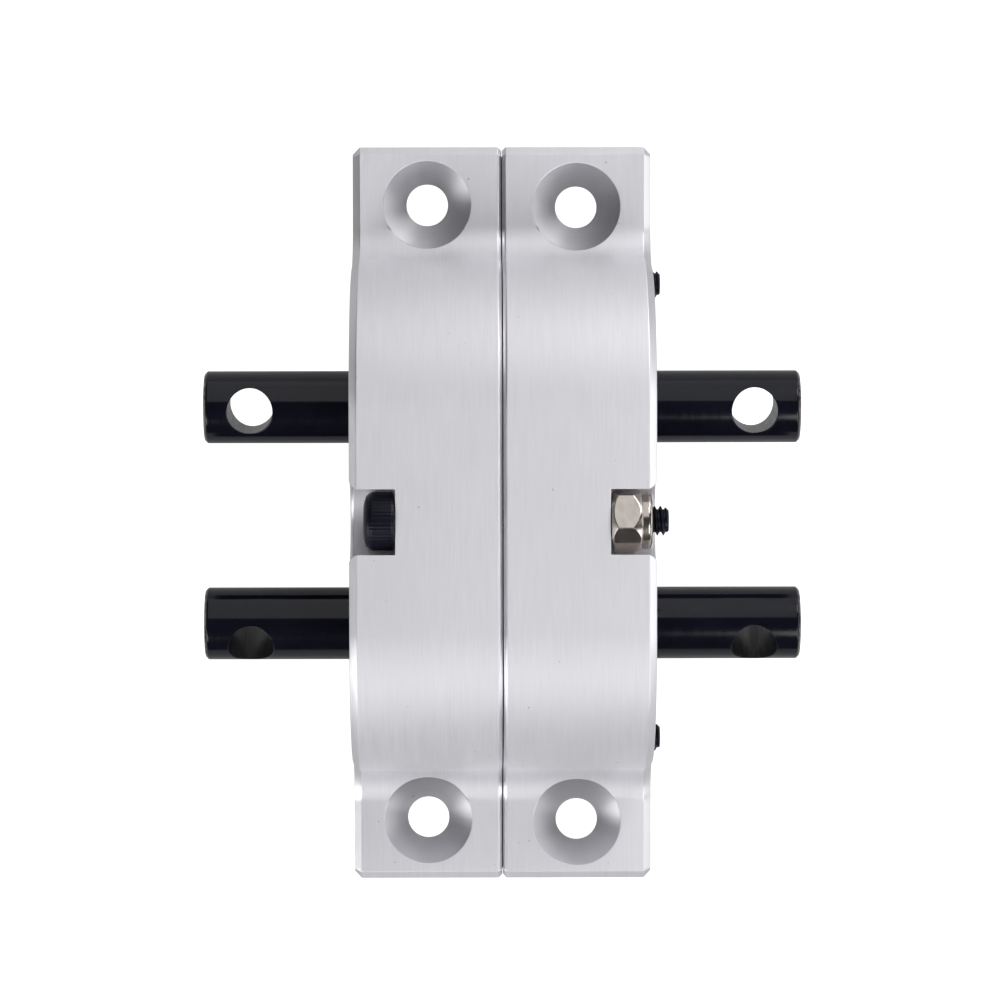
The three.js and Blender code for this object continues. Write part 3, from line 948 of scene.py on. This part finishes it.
def lock_nut(name, turn):
    corner = NUT_FLATS / math.sqrt(3)
    flats = hexagon(NUT_FLATS, math.pi / 2 + turn)
    nut = prism(name, [(NUT_SEAT, flats), (NUT_SHOULDER, flats)])
    limits = lathe("corner_tool", [
        (NUT_SEAT, 1.85),
        (NUT_SEAT + 0.42, corner + 0.01),
        (NUT_SHOULDER - 0.62, corner + 0.01),
        (NUT_SHOULDER, 1.93),
        (NUT_SHOULDER + 0.3, 1.6),
    ], NUT_ROUND)
    combine(nut, limits, "INTERSECT")
    collar = lathe("collar_tool", [
        (NUT_SHOULDER - 0.3, 1.86),
        (NUT_SHOULDER + 0.02, 1.9),
        (NUT_END - 0.26, COLLAR_RADIUS),
        (NUT_END - 0.12, 1.86),
        (NUT_END - 0.03, 1.74),
        (NUT_END, 1.58),
    ], NUT_ROUND)
    combine(nut, collar, "UNION")
    bore = lathe("bore_tool", [
        (NUT_SEAT - 1, NUT_BORE),
        (NUT_SHOULDER, NUT_BORE),
        (NUT_SHOULDER, RING_SEAT),
        (NUT_END - 0.08, RING_SEAT),
        (NUT_END - 0.08, LIP_RADIUS),
        (NUT_END + 1, LIP_RADIUS),
    ])
    cut(nut, bore)
    return soften(nut, 0.04, limit=22, segments=3)


def nylon_ring(name):
    inner, outer, bevel = 1.05, 1.55, 0.06
    profile = sleeve_profile(insert_low.x, insert_high.x, inner, outer, bevel)
    return soften(lathe(name, profile, SMALL_ROUND, ring=True), 0.01)


def build_fastener(label, place_yz, nut_turn):
    y, z = place_yz
    place(cap_screw(f"{label}_cap_screw"), "case", [f"{label}_screw"],
          SCREW_BLACK, y, z)
    place(lock_nut(f"{label}_lock_nut", nut_turn), "case", [f"{label}_nut"],
          NICKEL, y, z)
    place(nylon_ring(f"{label}_lock_ring"), "case", [f"{label}_nut_insert"],
          NYLON, y, z)


# ---- Stage, light and camera --------------------------------------------------------------

# Lights and floor are in metres and degrees, the camera is in millimetres and degrees.
LIGHT_DISTANCE = 0.5
SMALL_LIGHT = 0.115
LARGE_LIGHT = 0.17
LOW_ZENITH = 82
LOW_RIGHT_AZIMUTHS = (-30, 0, 30, 60)
LOW_RIGHT_RADIANCE = 2.2
STRIP_WIDTH = 0.16
STRIP_HEIGHT = 0.81
FLOOR_REACH = 2.0
FLOOR_DROP = 0.02 * MM
FLOOR_GREY = 0.33
CAMERA_PLACE = (-1.685, 14.24, 312.1)
CAMERA_TURN = (-2.504, -0.295, -0.0999)
FOCAL_LENGTHS_PER_FRAME = 4.3586
SENSOR = 36.0


def build_camera():
    data = bpy.data.cameras.new("camera")
    data.sensor_width = SENSOR
    data.lens = SENSOR * FOCAL_LENGTHS_PER_FRAME
    data.clip_start = 0.01
    data.clip_end = 10.0
    camera = bpy.data.objects.new("camera", data)
    camera.location = Vector(CAMERA_PLACE) * MM
    camera.rotation_euler = [math.radians(a) for a in CAMERA_TURN]
    bpy.context.scene.collection.objects.link(camera)
    bpy.context.scene.camera = camera


def seen_strength(tree, reflected, seen):
    """One strength for the camera and another for what the object reflects."""
    path = node(tree, "ShaderNodeLightPath")
    return remap(tree, path.outputs["Is Camera Ray"], 0.0, 1.0, reflected, seen)


def build_floor():
    reach = FLOOR_REACH
    builder = bmesh.new()
    corners = [(-reach, -reach), (reach, -reach), (reach, reach), (-reach, reach)]
    builder.faces.new([builder.verts.new((x, y, -FLOOR_DROP)) for x, y in corners])
    floor = new_object("floor", builder)
    material, tree, surface = new_material("floor_paper", 0.0, 0.9)
    surface.inputs["Base Color"].default_value = (FLOOR_GREY, FLOOR_GREY, FLOOR_GREY, 1.0)
    surface.inputs["Emission Color"].default_value = (1.0, 1.0, 1.0, 1.0)
    tree.links.new(seen_strength(tree, 0.2, 1.0), surface.inputs["Emission Strength"])
    floor.data.materials.append(material)


def light_towards(name, zenith, azimuth):
    """An area light that faces the object, in degrees from overhead and from +X."""
    tilt, turn = math.radians(zenith), math.radians(azimuth)
    towards = Vector((math.sin(tilt) * math.cos(turn), math.sin(tilt) * math.sin(turn),
                      math.cos(tilt)))
    data = bpy.data.lights.new(name, "AREA")
    light = bpy.data.objects.new(name, data)
    light.location = Vector((0, 0, SHAFT_Z * MM)) + towards * LIGHT_DISTANCE
    light.rotation_euler = towards.to_track_quat("Z", "Y").to_euler()
    light.visible_camera = False
    bpy.context.scene.collection.objects.link(light)
    return data


def round_light(name, zenith, azimuth, radius, radiance):
    data = light_towards(name, zenith, azimuth)
    data.shape = "DISK"
    data.size = 2 * radius
    data.energy = radiance * (math.pi * radius) ** 2


def strip_light(name, zenith, azimuth, width, height, radiance):
    data = light_towards(name, zenith, azimuth)
    data.shape = "RECTANGLE"
    data.size = width
    data.size_y = height
    data.energy = radiance * math.pi * width * height


def build_light():
    world = bpy.data.worlds.new("studio")
    world.use_nodes = True
    tree = world.node_tree
    background = tree.nodes["Background"]
    background.inputs["Color"].default_value = (1.0, 1.0, 1.0, 1.0)
    tree.links.new(seen_strength(tree, 0.05, 1.0), background.inputs["Strength"])
    bpy.context.scene.world = world
    round_light("near_right", 40, 310, LARGE_LIGHT, 3.5)
    round_light("near_left", 50, 240, SMALL_LIGHT, 6.5)
    round_light("far_right", 55, 60, SMALL_LIGHT, 7.5)
    round_light("low_left", LOW_ZENITH, 205, SMALL_LIGHT, 5.0)
    for i, azimuth in enumerate(LOW_RIGHT_AZIMUTHS):
        round_light(f"low_right_{i}", LOW_ZENITH, azimuth, SMALL_LIGHT, LOW_RIGHT_RADIANCE)
    strip_light("far_strip", 58, 90, STRIP_WIDTH, STRIP_HEIGHT, 0.85)
    bpy.context.scene.view_settings.view_transform = "Standard"


build_camera()
build_floor()
build_light()
build_housing()
build_line("input", SHAFT_Y, INPUT_TILT)
build_line("output", -SHAFT_Y, OUTPUT_TILT)
build_fastener("centre", CENTRE_SCREW, CENTRE_NUT_TURN)
build_fastener("upper", UPPER_SCREW, UPPER_NUT_TURN)
build_fastener("lower", LOWER_SCREW, LOWER_NUT_TURN)
